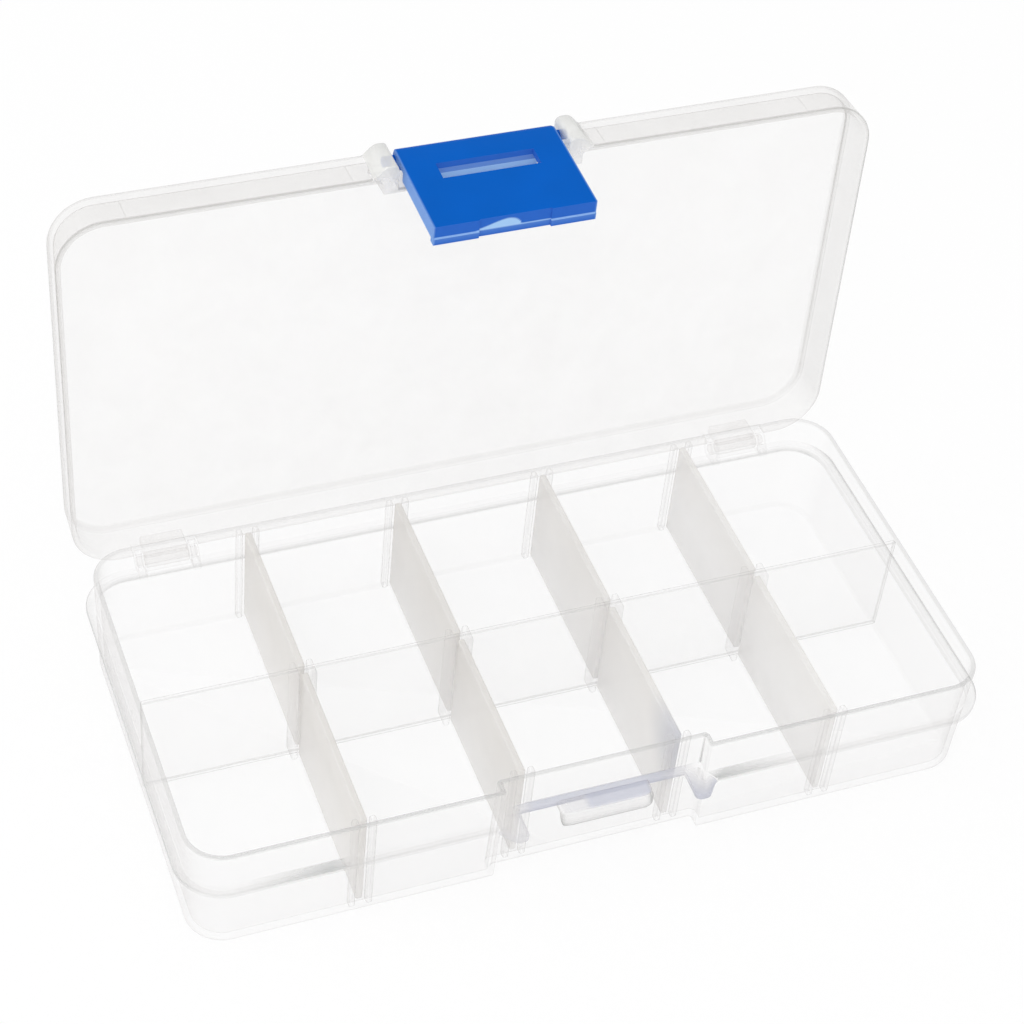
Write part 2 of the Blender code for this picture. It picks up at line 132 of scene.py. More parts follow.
# White card with a faint grain. It takes the box's soft shadow, and its own glow, which only the camera
# sees, keeps it almost as white as the sky behind it.
table_material = bpy.data.materials.new("white table")
tree = new_tree(table_material)
rays = node(tree, "ShaderNodeLightPath").outputs
grain = node(tree, "ShaderNodeTexNoise", Scale=60.0, Detail=3.0)
tint = node(tree, "ShaderNodeMapRange", Value=grain.outputs["Fac"], To_Min=0.955, To_Max=0.965)
paint = node(tree, "ShaderNodeBsdfDiffuse", Color=tint.outputs[0], Roughness=0.5)
white = node(tree, "ShaderNodeEmission", Color=linear("#FFFFFF"), Strength=1.0)
glow = node(tree, "ShaderNodeMath", {"operation": "MULTIPLY"}, Value__0=rays["Is Camera Ray"], Value__1=0.80)
table = node(tree, "ShaderNodeMixShader", Fac=glow.outputs[0],
             Shader__0=paint.outputs[0], Shader__1=white.outputs[0])
node(tree, "ShaderNodeOutputMaterial", Surface=table.outputs[0])

table_mesh = bpy.data.meshes.new("table")
TABLE_HALF = 3
corners = [(x * TABLE_HALF, y * TABLE_HALF, 0) for x, y in ((-1, -1), (1, -1), (1, 1), (-1, 1))]
table_mesh.from_pydata(corners, [], [(0, 1, 2, 3)])
table_mesh.materials.append(table_material)
table_top = bpy.data.objects.new("table", table_mesh)
bpy.context.scene.collection.objects.link(table_top)

# The tray is one injection moulding in clear polypropylene: drafted walls 0.8 mm thick, a flange that
# the lid seats on, a recess in the front wall behind the latch, and an ear at each end of the recess.

TRAY_HALF_X, TRAY_HALF_Y, TRAY_HEIGHT = 63.6, 31.8, 20.2
TRAY_CORNER, TRAY_WALL, TRAY_FLOOR, TRAY_DRAFT, FOOT_RADIUS = 6.2, 0.8, 0.9, 0.4, 0.8
RECESS_HALF, RECESS_WALL_Y, RECESS_BEND = 16.25, -29.7, 0.4
FLANGE_TOP, FLANGE_THICKNESS, FLANGE_REACH, LEDGE_Y = 13.9, 1.1, 1.35, -30.6
EAR_INNER, EAR_TIP, EAR_SLOPE, EAR_ROUND = 13.45, 1.6, 3.0, 0.8
FLANGE_EAR_Y, LID_EAR_Y = -35.7, -35.1
HINGE_X, HINGE_Y, HINGE_Z = 50.0, 34.1, 14.1
LUG_INNER, LUG_OUTER, LUG_RADIUS, PIN_HOLE = 3.8, 5.0, 1.9, 1.1
WINDOW_HALF, STEP_RUN = 5.3, 0.01
# Points along the front edge, closer together where a tick of the lid or a painted shaded stretch of the
# flange is.
FRONT_X = [-56, -54.2, -54, -53.8, -50, -46, -43, -41.5, -40, -37, -33, -30, -25, -20.2, -20, -19.8]


def arc(centre, radius, start, end, steps):
    """Points on a circle between two angles in degrees: centre plus radius times cosine and sine."""
    a = np.radians(np.linspace(start, end, steps + 1))
    return np.stack([centre[0] + radius * np.cos(a), centre[1] + radius * np.sin(a)], 1)


def box_outline(offset, recess_y=None, ear_y=None, hinge_y=None):
    """Outline of the box, offset outwards from the tray's rim, anticlockwise from the front right
    corner: four quarter circles and straights, and in the front edge either the two bends of the
    recess, or, given ear_y, an ear whose slope is half a cosine wave. Each call gives the same
    number of points, so that outlines join ring to ring."""
    half_x, half_y, corner = TRAY_HALF_X + offset, TRAY_HALF_Y + offset, TRAY_CORNER + offset
    back = RECESS_WALL_Y - offset if recess_y is None else recess_y
    x, y = half_x - corner, half_y - corner
    steps_x = np.array([WINDOW_HALF, WINDOW_HALF, LUG_INNER, LUG_INNER])
    steps_x += np.array([1, -1, 1, -1]) * STEP_RUN
    local = np.concatenate([steps_x, -steps_x[::-1]])
    rear_x = np.concatenate([HINGE_X + local, local - HINGE_X])
    rear_y = np.full(len(rear_x), half_y)
    if hinge_y is not None:
        rear_y[np.abs(np.abs(rear_x) - HINGE_X) < LUG_INNER] = hinge_y
    if ear_y is None:
        outer, inner = (max(RECESS_BEND + s * offset / 2, 0.1) for s in (1, -1))
        jog = RECESS_HALF - offset
        bend = np.concatenate([
            arc((-jog - outer, outer - half_y), outer, -90, 0, 12),
            arc((inner - jog, back - inner), inner, 180, 90, 8),
            [(-EAR_INNER, back)],
        ])
    else:
        along = np.linspace(1, 0, 13)
        fall = (1 - np.cos(np.pi * along)) / 2
        slope = np.stack([-EAR_INNER - EAR_TIP - EAR_SLOPE * along, ear_y + (-half_y - ear_y) * fall], 1)
        bend = np.concatenate([
            slope,
            arc((-EAR_INNER - EAR_ROUND, ear_y + EAR_ROUND), EAR_ROUND, 270, 360, 8),
            [(-EAR_INNER, back)],
        ])
    front = np.stack([FRONT_X, np.full(len(FRONT_X), -half_y)], 1)
    wall_x = np.arange(-12.0, 12.1, 1.0)
    wall = np.stack([wall_x, np.full(len(wall_x), back)], 1)
    return np.concatenate([
        arc((x, -y), corner, -90, 0, 16),
        arc((x, y), corner, 0, 90, 16),
        np.stack([rear_x, rear_y], 1),
        arc((-x, y), corner, 90, 180, 16),
        arc((-x, -y), corner, 180, 270, 16),
        front,
        bend,
        wall,
        bend[::-1] * (-1, 1),
        front[::-1] * (-1, 1),
    ])


def at_height(outline, z):
    """Outline points lifted to height z, which is one number or one for each point."""
    return np.column_stack([outline, np.broadcast_to(z, len(outline))])


def skin(rings, ends="capped", weights=0.0):
    """Vertices, faces and edge weights of the surface through a stack of rings. The ends are capped or
    joined to each other ('loop'). A weight is one number for a ring or one for each point: 1 where the
    plastic is seen as a line, on a rounded edge or in a corner, 0 on flat faces, and -1 where it is
    thick and milky."""
    stack = np.asarray(rings, float)
    count, per_ring = stack.shape[:2]
    index = np.arange(count * per_ring).reshape(count, per_ring)
    if ends == "loop":
        index = np.vstack([index, index[:1]])
    near, far = index[:-1], index[1:]
    quads = np.stack([near, np.roll(near, -1, 1), np.roll(far, -1, 1), far], -1).reshape(-1, 4)
    faces = quads.tolist()
    if ends == "capped":
        faces += [index[0, ::-1].tolist(), index[-1].tolist()]
    if np.isscalar(weights):
        weights = [weights] * count
    weights = np.stack([np.broadcast_to(w, per_ring) for w in weights])
    return stack.reshape(-1, 3), faces, weights.ravel()


def joined(*surfaces):
    """Several surfaces as one: vertices stacked, and each surface's faces numbered on."""
    points, faces, weights, start = [], [], [], 0
    for p, f, w in surfaces:
        points.append(p)
        weights.append(w)
        faces += [[start + i for i in face] for face in f]
        start += len(p)
    return np.concatenate(points), faces, np.concatenate(weights)


def piece(name, surface, material, body, sharp=30, weld=None):
    """Mesh object of a surface in mm that rides on a body, with faces outward and edges sharper than
    an angle in degrees kept sharp."""
    points, faces, weights = surface
    mesh = bpy.data.meshes.new(name)
    mesh.from_pydata((points * MM).tolist(), [], faces)
    mesh.attributes.new("edge", "FLOAT", "POINT").data.foreach_set("value", weights.astype(np.float32))
    bm = bmesh.new()
    bm.from_mesh(mesh)
    if weld:
        bmesh.ops.remove_doubles(bm, verts=bm.verts, dist=weld * MM)
        bmesh.ops.dissolve_degenerate(bm, edges=bm.edges, dist=weld * MM / 10)
    bmesh.ops.recalc_face_normals(bm, faces=bm.faces)
    bm.to_mesh(mesh)
    bm.free()
    mesh.shade_smooth()
    mesh.set_sharp_from_angle(angle=math.radians(sharp))
    mesh.materials.append(material)
    made = bpy.data.objects.new(name, mesh)
    bpy.context.scene.collection.objects.link(made)
    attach(made, body)
    return made


def lean(z):
    """How far the tray's wall has leaned in at height z: the draft times the depth below the rim."""
    return TRAY_DRAFT * (1 - np.asarray(z) / TRAY_HEIGHT)


def clear_polypropylene(name, haze, shade, glance, line, line_shade, thick_shade):
    """Natural polypropylene, injection moulded and left glossy. It is not glass clear: it scatters a
    little white, passes most light, looks denser where a wall is seen along its face, shows every
    rounded edge and inner corner as a thin grey line, and turns milky where it is thick. Flow marks
    some 8 mm long and a fine ripple of 0.6 mm break up the gloss."""
    material = bpy.data.materials.new(name)
    tree = new_tree(material)
    place = node(tree, "ShaderNodeTexCoord").outputs["Object"]
    flow = node(tree, "ShaderNodeTexNoise", Vector=place, Scale=1 / (8 * MM), Detail=3.0, Distortion=0.4)
    ripple = node(tree, "ShaderNodeTexNoise", Vector=place, Scale=1 / (0.6 * MM), Detail=2.0)
    edge = node(tree, "ShaderNodeAttribute", {"attribute_name": "edge"}).outputs["Fac"]
    drawn = node(tree, "ShaderNodeMapRange", Value=edge, From_Max=1.0, To_Max=1.0).outputs[0]
    thick = node(tree, "ShaderNodeMapRange", Value=edge, From_Max=-1.0, To_Max=1.0).outputs[0]
    facing = node(tree, "ShaderNodeLayerWeight", Blend=0.5).outputs["Facing"]
    veil = node(tree, "ShaderNodeMapRange", Value=flow.outputs["Fac"],
                From_Min=0.3, From_Max=0.7, To_Min=haze * 0.8, To_Max=haze * 1.2)
    along = node(tree, "ShaderNodeMath", {"operation": "POWER"}, Value__0=facing, Value__1=4.0)
    cover = veil.outputs[0]
    for part, amount in ((along.outputs[0], glance), (drawn, line), (thick, 0.85)):
        cover = node(tree, "ShaderNodeMath", {"operation": "MULTIPLY_ADD", "use_clamp": True},
                     Value__0=part, Value__1=amount, Value__2=cover).outputs[0]
    colour = linear(shade)
    for part, tone in ((drawn, line_shade), (thick, thick_shade)):
        colour = node(tree, "ShaderNodeMix", {"data_type": "RGBA"},
                      Factor=part, A__2=colour, B__2=linear(tone)).outputs[2]
    gloss = node(tree, "ShaderNodeMapRange", Value=flow.outputs["Fac"], To_Min=0.12, To_Max=0.22)
    bump = node(tree, "ShaderNodeBump", Height=ripple.outputs["Fac"], Distance=0.02 * MM, Strength=0.4)
    shader = node(tree, "ShaderNodeBsdfPrincipled", Base_Color=colour, Alpha=cover,
                  Roughness=gloss.outputs[0], Normal=bump.outputs[0], IOR=1.49)
    node(tree, "ShaderNodeOutputMaterial", Surface=shader.outputs[0])
    return material


# The tray's thick places, the ledge, the tongue's top and the flange's ears, turn milky and are tinted
# lavender-grey: the milk is thick plastic, the lavender a painted reflection of the blue latch.
clear_tray = clear_polypropylene(
    "clear polypropylene, tray", haze=0.016, shade="#E2DFDE", glance=0.55,
    line=0.60, line_shade="#A2A5A3", thick_shade="#C4C7D6")

flange_low = FLANGE_TOP - FLANGE_THICKNESS
FLANGE_HINGE_Y = 32.5  # the flange stands back here, clear of the knuckles


def flange_ring(inset, z):
    """Edge of the flange, with its ears, drawn in by inset, at height z."""
    outline = box_outline(FLANGE_REACH - inset, LEDGE_Y + inset, FLANGE_EAR_Y + inset, FLANGE_HINGE_Y)
    return at_height(outline, z)


def around(ring, front, side, rear):
    """Weight that runs from its value along the front, over the sides, to its value along the back."""
    return np.interp(ring[:, 1], np.array([-1, -0.85, 0.85, 1]) * TRAY_HALF_Y, [front, side, side, rear])


def at_bends(ring, weight):
    """Weight on the recess's inner corners, which fades within a third of a millimetre of them: full at
    the right one and less than a third of that at the left one."""
    away = np.hypot(np.abs(ring[:, 0]) - RECESS_HALF, ring[:, 1] - RECESS_WALL_Y)
    return weight * np.clip(1.3 - away / 0.25, 0, 1) * np.where(ring[:, 0] > 0, 1, 0.3)


def painted_flange_shade(ring):
    """Two stretches of the front flange with painted shade, each rising and fading along the edge."""
    x = ring[:, 0]
    stretch = np.interp(x, [-57, -42, -40], [0, 1, 0]) + np.interp(x, [16.5, 17.5, 33], [0, 1, 0])
    return stretch * (ring[:, 1] < 0)


def thickened(ring, weight):
    """The given weights, but negative on the ledge in the recess and on the flange's two ears; the right ear
    is painted denser than the left, as painted shade.
    """
    x, y = ring.T[:2]
    ear = (np.abs(x) > 13) & (np.abs(x) < 19) & (y < -TRAY_HALF_Y - FLANGE_REACH - 0.1)
    ledge = (np.abs(x) < 15.8) & (y < RECESS_WALL_Y + 0.5) & ~ear
    on_ear = np.where(x > 0, -0.8, -0.35)
    on_ledge = np.interp(x, [-14, -11, 9, 14], [-0.3, -0.85, -0.85, -0.4])
    return np.select([ear, ledge], [on_ear, on_ledge], weight)


def bent(steps):
    """Line weights round a quarter circle: the sine of twice the angle, highest in the middle."""
    return np.sin(2 * np.radians(np.linspace(0, 90, steps)))


# The shell runs from the foot up the outside, over the flange and the rim, and down the inside.
shell, lines = [], []
for a, w in zip(np.radians(np.linspace(0, 90, 7)), bent(7)):
    inset = FOOT_RADIUS * (1 - math.sin(a))
    shell.append(at_height(box_outline(-inset - TRAY_DRAFT), FOOT_RADIUS * (1 - math.cos(a))))
    lines.append(0.10 * w)
for z, front, side, rear in ((flange_low - 0.4, 0, 0, 0), (flange_low, 0.04, 0.06, 0.7)):
    shell.append(at_height(box_outline(-lean(z)), z))
    right_side = np.interp(shell[-1][:, 0], [60, 62], [0, 0.4]) * (side > 0)
    lines.append(around(shell[-1], front, side, rear) + at_bends(shell[-1], 0.3) + right_side)
for inset, z, front, side, flange_shade in (
        (0.2, flange_low, 0.04, 0.05, 0), (0, flange_low + 0.2, 0.08, 0.12, 0),
        (0, FLANGE_TOP - 0.2, 0.55, 0.9, 0.5), (0.2, FLANGE_TOP, 0.35, 0.45, 0.7)):
    shell.append(flange_ring(inset, z))
    lines.append(thickened(shell[-1], around(shell[-1], front, side, 0) + flange_shade * painted_flange_shade(shell[-1])))
shell.append(at_height(box_outline(-lean(FLANGE_TOP)), FLANGE_TOP))
lines.append(thickened(shell[-1], 0.05 + 0.8 * painted_flange_shade(shell[-1])))
for z in (FLANGE_TOP + 0.35, TRAY_HEIGHT - 0.4):
    shell.append(at_height(box_outline(-lean(z)), z))
    lines.append(at_bends(shell[-1], 1.0))
RIM_ROUND, RIM_INNER_LOW, FLOOR_FILLET = 0.2, TRAY_HEIGHT - 0.6, 0.6
for offset, turn in ((0, 1), (-TRAY_WALL, -1)):
    for a in np.radians(np.linspace(0, 90, 5))[::turn]:
        inset = RIM_ROUND * (1 - math.cos(a)) * turn
        shell.append(at_height(box_outline(offset - inset), TRAY_HEIGHT - RIM_ROUND * (1 - math.sin(a))))
        filled = around(shell[-1], 0.72, 0.55, 0.42) * (0.25 + 0.75 * math.sin(a))
        lines.append(filled + at_bends(shell[-1], 0.4))
shell.append(at_height(box_outline(-TRAY_WALL - lean(RIM_INNER_LOW)), RIM_INNER_LOW))
lines.append(at_bends(shell[-1], 0.6))
for a in np.radians(np.linspace(0, 90, 6)):
    inset = TRAY_WALL + lean(TRAY_FLOOR) + FLOOR_FILLET * (1 - math.cos(a))
    shell.append(at_height(box_outline(-inset), TRAY_FLOOR + FLOOR_FILLET * (1 - math.sin(a))))
    lines.append(0.03)
tray_shell = piece("tray_shell", skin(shell, weights=lines), clear_tray, "tray")
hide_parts("tray")

# The centre wall and the guide ribs are part of the same moulding. The wall runs the box's length, and
# a pair of ribs on each wall holds each divider. All of them have rounded top edges.

CENTRE_WALL, RIB_WIDTH, RIB_REACH, DIVIDER_THICKNESS, GAP = 0.8, 1.0, 1.2, 1.1, 0.3
RIB_ROUND, SUNK, WALL_BITE = 0.3, 0.2, 0.1  # ribs reach into the floor and walls, so that no gap shows
DIVIDER_X = np.array([-37.68, -12.56, 12.56, 37.68])


def rounded_block(low, high, radius, line=0.6):
    """Block between two corners with all edges rounded: a ball of that radius cut into eight at its
    three middle planes and moved apart, so each point is a corner's centre plus radius times a
    direction."""
    low, high = np.asarray(low, float), np.asarray(high, float)
    polar = np.radians(np.concatenate([np.linspace(-90, 0, 5), np.linspace(0, 90, 5)]))
    turn = np.radians(np.concatenate([np.linspace(q, q + 90, 5) for q in (0, 90, 180, 270)]))
    up = np.repeat([-1, 1], 5)
    sx, sy = np.repeat([1, -1, -1, 1], 5), np.repeat([1, 1, -1, -1], 5)
    middle, half = (low + high) / 2, (high - low) / 2 - radius
    x = middle[0] + sx * half[0] + radius * np.cos(polar)[:, None] * np.cos(turn)
    y = middle[1] + sy * half[1] + radius * np.cos(polar)[:, None] * np.sin(turn)
    z = np.broadcast_to((middle[2] + up * half[2] + radius * np.sin(polar))[:, None], x.shape)
    lines = np.maximum(np.abs(np.sin(2 * polar))[:, None],
                       np.cos(polar)[:, None] * np.abs(np.sin(2 * turn)))
    return skin(np.stack([x, y, z], -1), weights=line * lines)


def rib(x, near, far, line=0.22):
    """Rib beside a divider at x, from y near to y far, from the floor to the rim."""
    return rounded_block((x - RIB_WIDTH / 2, near, TRAY_FLOOR - SUNK),
                         (x + RIB_WIDTH / 2, far, TRAY_HEIGHT), RIB_ROUND, line)


ribs = []
for x in DIVIDER_X:
    recessed = abs(x) < RECESS_HALF
    front = (RECESS_WALL_Y if recessed else -TRAY_HALF_Y) + TRAY_WALL
    rear = TRAY_HALF_Y - TRAY_WALL
    for side in (-1, 1):
        at = x + side * (DIVIDER_THICKNESS / 2 + GAP + RIB_WIDTH / 2)
        ribs.append(rib(at, front - WALL_BITE, front + RIB_REACH))
        ribs.append(rib(at, -CENTRE_WALL / 2 - RIB_REACH, CENTRE_WALL / 2 + RIB_REACH, 0.08))
        ribs.append(rib(at, rear - RIB_REACH, rear + WALL_BITE))
centre_wall = rounded_block((-TRAY_HALF_X + 0.7, -CENTRE_WALL / 2, TRAY_FLOOR - SUNK),
                            (TRAY_HALF_X - 0.7, CENTRE_WALL / 2, TRAY_HEIGHT), 0.35, line=0.5)
piece("tray_centre_wall", joined(centre_wall, *ribs), clear_tray, "tray", weld=0.002)

# The tongue stands on the flange inside the recess. The latch's slot drops over it and its turned-down
# lip holds the box shut.

TONGUE_HALF, TONGUE_TIP_Y, TONGUE_NOSE, TONGUE_LIP, TONGUE_LOW = 7.4, -33.85, 1.2, 0.9, 11.6
nose = arc((TONGUE_TIP_Y + TONGUE_NOSE, FLANGE_TOP - TONGUE_NOSE), TONGUE_NOSE, 90, 180, 8)
tongue_profile = np.concatenate([
    [(LEDGE_Y + 0.3, FLANGE_TOP)], nose,
    [(TONGUE_TIP_Y, TONGUE_LOW + 0.5), (TONGUE_TIP_Y, TONGUE_LOW), (TONGUE_TIP_Y + TONGUE_LIP, TONGUE_LOW),
     (TONGUE_TIP_Y + 2 * TONGUE_LIP, flange_low), (LEDGE_Y + 0.3, flange_low)],
])
# Along the profile the weights make the top milky, the nose pale and its lower edge a dark line.
tongue_lines = np.array(
    [-0.9, -0.9, -0.85, -0.7, 0.15, 0.12, 0.0, 0.05, 0.15, 0.08, 0.12, 0.75, 0.3, 0.05, 0.05])
tongue_rings, tongue_weights = [], []
for x, extra in ((-1, 0.5), (-0.93, 0.1), (-0.8, 0), (-0.5, 0), (-0.35, 0),
                 (0.8, 0), (0.9, 0), (0.95, 0.15), (1, 0.6)):
    setback = (0.8 if x > 0 else 0.3) * (max(abs(x) - 0.8, 0) / 0.2) ** 2
    ring = np.column_stack([np.full(len(tongue_profile), x * TONGUE_HALF), tongue_profile])
    ring[:, 1] += setback * (tongue_profile[:, 0] < TONGUE_TIP_Y + 2)
    tongue_rings.append(ring)
    # The tongue's left part is painted less milky: painted light.
    milky = 0.45 if x < -0.4 else 1
    tongue_weights.append(np.where(tongue_lines < 0, tongue_lines * milky, tongue_lines) + extra)
tongue = skin(tongue_rings, weights=tongue_weights)
tray_tongue = piece("tray_tongue", tongue, clear_tray, "tray")
bevel = tray_tongue.modifiers.new("rounded edges", "BEVEL")
bevel.width, bevel.segments, bevel.angle_limit = 0.25 * MM, 2, math.radians(35)

# Two pairs of lugs behind the tray carry the lid's hinge pins. Each lug is a rounded plate with a hole,
# moulded with the tray.


def lug(x0, x1):
    """Lug between two planes: the outer profile and the pin hole have the same number of points,
    and one ring of faces joins them on each side."""
    outer = np.concatenate([
        np.linspace((31.3, 13.2), (31.3, HINGE_Z - LUG_RADIUS), 4)[:-1],
        arc((HINGE_Y, HINGE_Z), LUG_RADIUS, -90, 120, 24),
        np.linspace((31.5, FLANGE_TOP), (31.3, 13.5), 3)[:-1],
    ])
    angle = np.arctan2(outer[:, 1] - HINGE_Z, outer[:, 0] - HINGE_Y)
    hole = np.stack([HINGE_Y + PIN_HOLE * np.cos(angle), HINGE_Z + PIN_HOLE * np.sin(angle)], 1)
    sides = ((x0, outer), (x1, outer), (x1, hole), (x0, hole))
    return skin([np.column_stack([np.full(len(p), x), p]) for x, p in sides], ends="loop")


lugs = [lug(*sorted((c + s * LUG_INNER, c + s * LUG_OUTER))) for c in (-HINGE_X, HINGE_X) for s in (-1, 1)]
piece("tray_hinge_lugs", joined(*lugs), clear_tray, "tray")

# Eight loose dividers, each a flat frosted polypropylene plate 1.1 mm thick with rounded edges, that
# drop between the ribs. The two in the middle are shorter in front, where the wall is recessed.

DIVIDER_LOW, DIVIDER_HIGH, DIVIDER_ROUND = 1.2, 19.9, 0.3
DIVIDER_INNER_Y, DIVIDER_OUTER_Y, DIVIDER_SHORT_Y = 0.7, 30.3, 28.2


def frosted_polypropylene():
    """Polypropylene with a matt, finely eroded mould finish: it lets light through but nothing sharp,
    and looks milky and warm grey. Its colour is painted darker towards the top and lighter towards the
    foot, as painted light from the white table, and painted darker towards the left end of the row and
    lighter towards the right, as painted shade. The third front divider gets a painted lavender-grey
    shade near the recess. Specks of the mould's texture are 0.15 mm, drawn at 0.4 mm so that they show."""
    material = bpy.data.materials.new("frosted polypropylene")
    tree = new_tree(material)
    place = node(tree, "ShaderNodeTexCoord").outputs["Object"]
    along = node(tree, "ShaderNodeSeparateXYZ", Vector=place).outputs
    cloud = node(tree, "ShaderNodeTexNoise", Vector=place, Scale=1 / (12 * MM), Detail=3.0)
    specks = node(tree, "ShaderNodeTexNoise", Vector=place, Scale=1 / (0.4 * MM), Detail=2.0)
    # Painted light and shade: lighter at the foot, darker towards the top.
    painted_shade_by_height = node(tree, "ShaderNodeMapRange", Value=along["Z"],
                  From_Min=1 * MM, From_Max=20 * MM, To_Min=-0.3, To_Max=0.7)
    # Painted shade across the row: darker towards the left, lighter towards the right.
    sideways = node(tree, "ShaderNodeMath", {"operation": "MULTIPLY_ADD"},
                    Value__0=along["X"], Value__1=-0.4 / (40 * MM), Value__2=painted_shade_by_height.outputs[0])
    shaded = node(tree, "ShaderNodeMath", {"operation": "MULTIPLY_ADD", "use_clamp": True},
                  Value__0=cloud.outputs["Fac"], Value__1=0.5, Value__2=sideways.outputs[0])
    colour = node(tree, "ShaderNodeMix", {"data_type": "RGBA"}, Factor=shaded.outputs[0],
                  A__2=linear("#FCFBFA"), B__2=linear("#E9E6E2"))
    # Painted lavender-grey shade on the third front divider, near the recess.
    corner = node(tree, "ShaderNodeVectorMath", {"operation": "DISTANCE"},
                  Vector__0=place, Vector__1=(12.56 * MM, -29 * MM, 17 * MM))
    painted_recess_shade = node(tree, "ShaderNodeMapRange", {"interpolation_type": "SMOOTHSTEP"},
               Value=corner.outputs["Value"], From_Min=2 * MM, From_Max=12 * MM, To_Min=0.9, To_Max=0.0)
    colour = node(tree, "ShaderNodeMix", {"data_type": "RGBA"}, Factor=painted_recess_shade.outputs[0],
                  A__2=colour.outputs[2], B__2=linear("#C9CAD2"))
    cover = node(tree, "ShaderNodeMapRange", Value=cloud.outputs["Fac"], To_Min=0.5, To_Max=0.62)
    rough = node(tree, "ShaderNodeMapRange", Value=specks.outputs["Fac"], To_Min=0.42, To_Max=0.58)
    bump = node(tree, "ShaderNodeBump", Height=specks.outputs["Fac"], Distance=0.02 * MM, Strength=0.5)
    shader = node(tree, "ShaderNodeBsdfPrincipled", Base_Color=colour.outputs[2], Alpha=cover.outputs[0],
                  Roughness=rough.outputs[0], Normal=bump.outputs[0], IOR=1.49)
    node(tree, "ShaderNodeOutputMaterial", Surface=shader.outputs[0])
    return material


frosted = frosted_polypropylene()
for number, x in enumerate(DIVIDER_X, 1):
    front_y = DIVIDER_SHORT_Y if abs(x) < RECESS_HALF else DIVIDER_OUTER_Y
    for row, low_y, high_y in (("front", -front_y, -DIVIDER_INNER_Y),
                               ("rear", DIVIDER_INNER_Y, DIVIDER_OUTER_Y)):
        plate = rounded_block((x - DIVIDER_THICKNESS / 2, low_y, DIVIDER_LOW),
                              (x + DIVIDER_THICKNESS / 2, high_y, DIVIDER_HIGH), DIVIDER_ROUND)
        name = f"divider_{row}_{number}"
        made = piece(name + "_plate", plate, frosted, name, weld=0.002)
        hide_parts(name)

# The lid is a second clear moulding: a plate with a skirt that closes over the tray's rim, a recess
# and two ears in front, and cut-outs behind for the hinges. It is drawn closed and turned open 92 degrees.

LID_OFFSET, LID_DRAFT, LID_INNER, LID_EDGE = 1.1, 0.2, 0.3, 1.0
LID_LOW, LID_CEILING, LID_TOP, EAR_TOP, WINDOW_TOP = 14.2, 20.5, 21.7, 20.7, 16.3
LID_RECESS_Y = -30.8
OPEN_ANGLE = math.radians(-92)


def turned(points, angle, y, z):
    """Points turned about a line along X through (y, z), by the usual rotation."""
    p = np.array(points, float)
    dy, dz = p[..., 1] - y, p[..., 2] - z
    p[..., 1] = y + dy * math.cos(angle) - dz * math.sin(angle)
    p[..., 2] = z + dy * math.sin(angle) + dz * math.cos(angle)
    return p


def lid_opened(surface):
    """A surface of the closed lid, turned open about the hinge."""
    return turned(surface[0], OPEN_ANGLE, HINGE_Y, HINGE_Z), *surface[1:]


def skirt_ring(outline, z):
    """Ring near the skirt's free edge, lifted over the hinges to leave the cut-outs."""
    near_hinge = np.abs(np.abs(outline[:, 0]) - HINGE_X) < WINDOW_HALF
    heights = np.where(near_hinge & (outline[:, 1] > TRAY_HALF_Y - 2), z + WINDOW_TOP - LID_LOW, z)
    return at_height(outline, heights)


clear_lid = clear_polypropylene(
    "clear polypropylene, lid", haze=0.095, shade="#E9E6E4", glance=0.34,
    line=0.50, line_shade="#A6A5A1", thick_shade="#E3E4E1")


def skirt_fill(ring, ends=0.0):
    """Weight of the skirt's faces, fainter at the back, and of the four short ticks at the ends of the
    two pads inside the front skirt, 20 and 54 mm from the middle."""
    x = np.abs(ring[:, 0])
    tick = ends * ((np.abs(x - 20) < 0.1) | (np.abs(x - 54) < 0.1)) * (ring[:, 1] < 0)
    return np.interp(ring[:, 1], [26, 31], [0.19, 0.045]) + tick


def add_lid_ring(ring, weight, outside=True):
    """Keeps a ring with its weights; outside, the two ears at the recess are thick and milky."""
    ear = outside & (ring[:, 1] < -TRAY_HALF_Y - LID_OFFSET - 0.4)
    lid_rings.append(ring)
    lid_lines.append(np.where(ear, -0.8, weight + np.zeros(len(ring))))


EDGE_ROUND, CEILING_FILLET, PAD_LOW = 0.15, 0.35, 16.7
lid_outside = LID_OFFSET + LID_DRAFT
lid_rings, lid_lines = [], []
for a, w in zip(np.radians(np.linspace(90, 0, 5)), bent(5)):
    outline = box_outline(LID_INNER - CEILING_FILLET * (1 - math.cos(a)))
    ring = at_height(outline, LID_CEILING - CEILING_FILLET * (1 - math.sin(a)))
    corner = np.interp(ring[:, 1], [20, 31], [0.9 * w, 0.0])
    add_lid_ring(ring, corner + skirt_fill(ring, 0.3) * (a < 0.1), outside=False)
for z, ends in ((LID_CEILING - 0.9, 0.4), (PAD_LOW, 0.3)):
    drafted = LID_DRAFT * (LID_CEILING - z) / (LID_CEILING - LID_LOW)
    ring = at_height(box_outline(LID_INNER + drafted), z)
    add_lid_ring(ring, skirt_fill(ring, ends), outside=False)
for offset, z in ((0, EDGE_ROUND), (EDGE_ROUND, 0)):
    ring = skirt_ring(box_outline(LID_INNER + LID_DRAFT + offset), LID_LOW + z)
    add_lid_ring(ring, skirt_fill(ring), outside=False)
for offset, z, line in ((EDGE_ROUND, 0, 0.4), (0, EDGE_ROUND, 0.95), (0, 0.4, 0.6), (0.01, 0.7, 0)):
    outline = box_outline(lid_outside - offset, LID_RECESS_Y + offset, LID_EAR_Y + offset)
    ring = skirt_ring(outline, LID_LOW + z)
    add_lid_ring(ring, skirt_fill(ring) + np.interp(ring[:, 1], [20, 31], [line, 0.2 * line]))
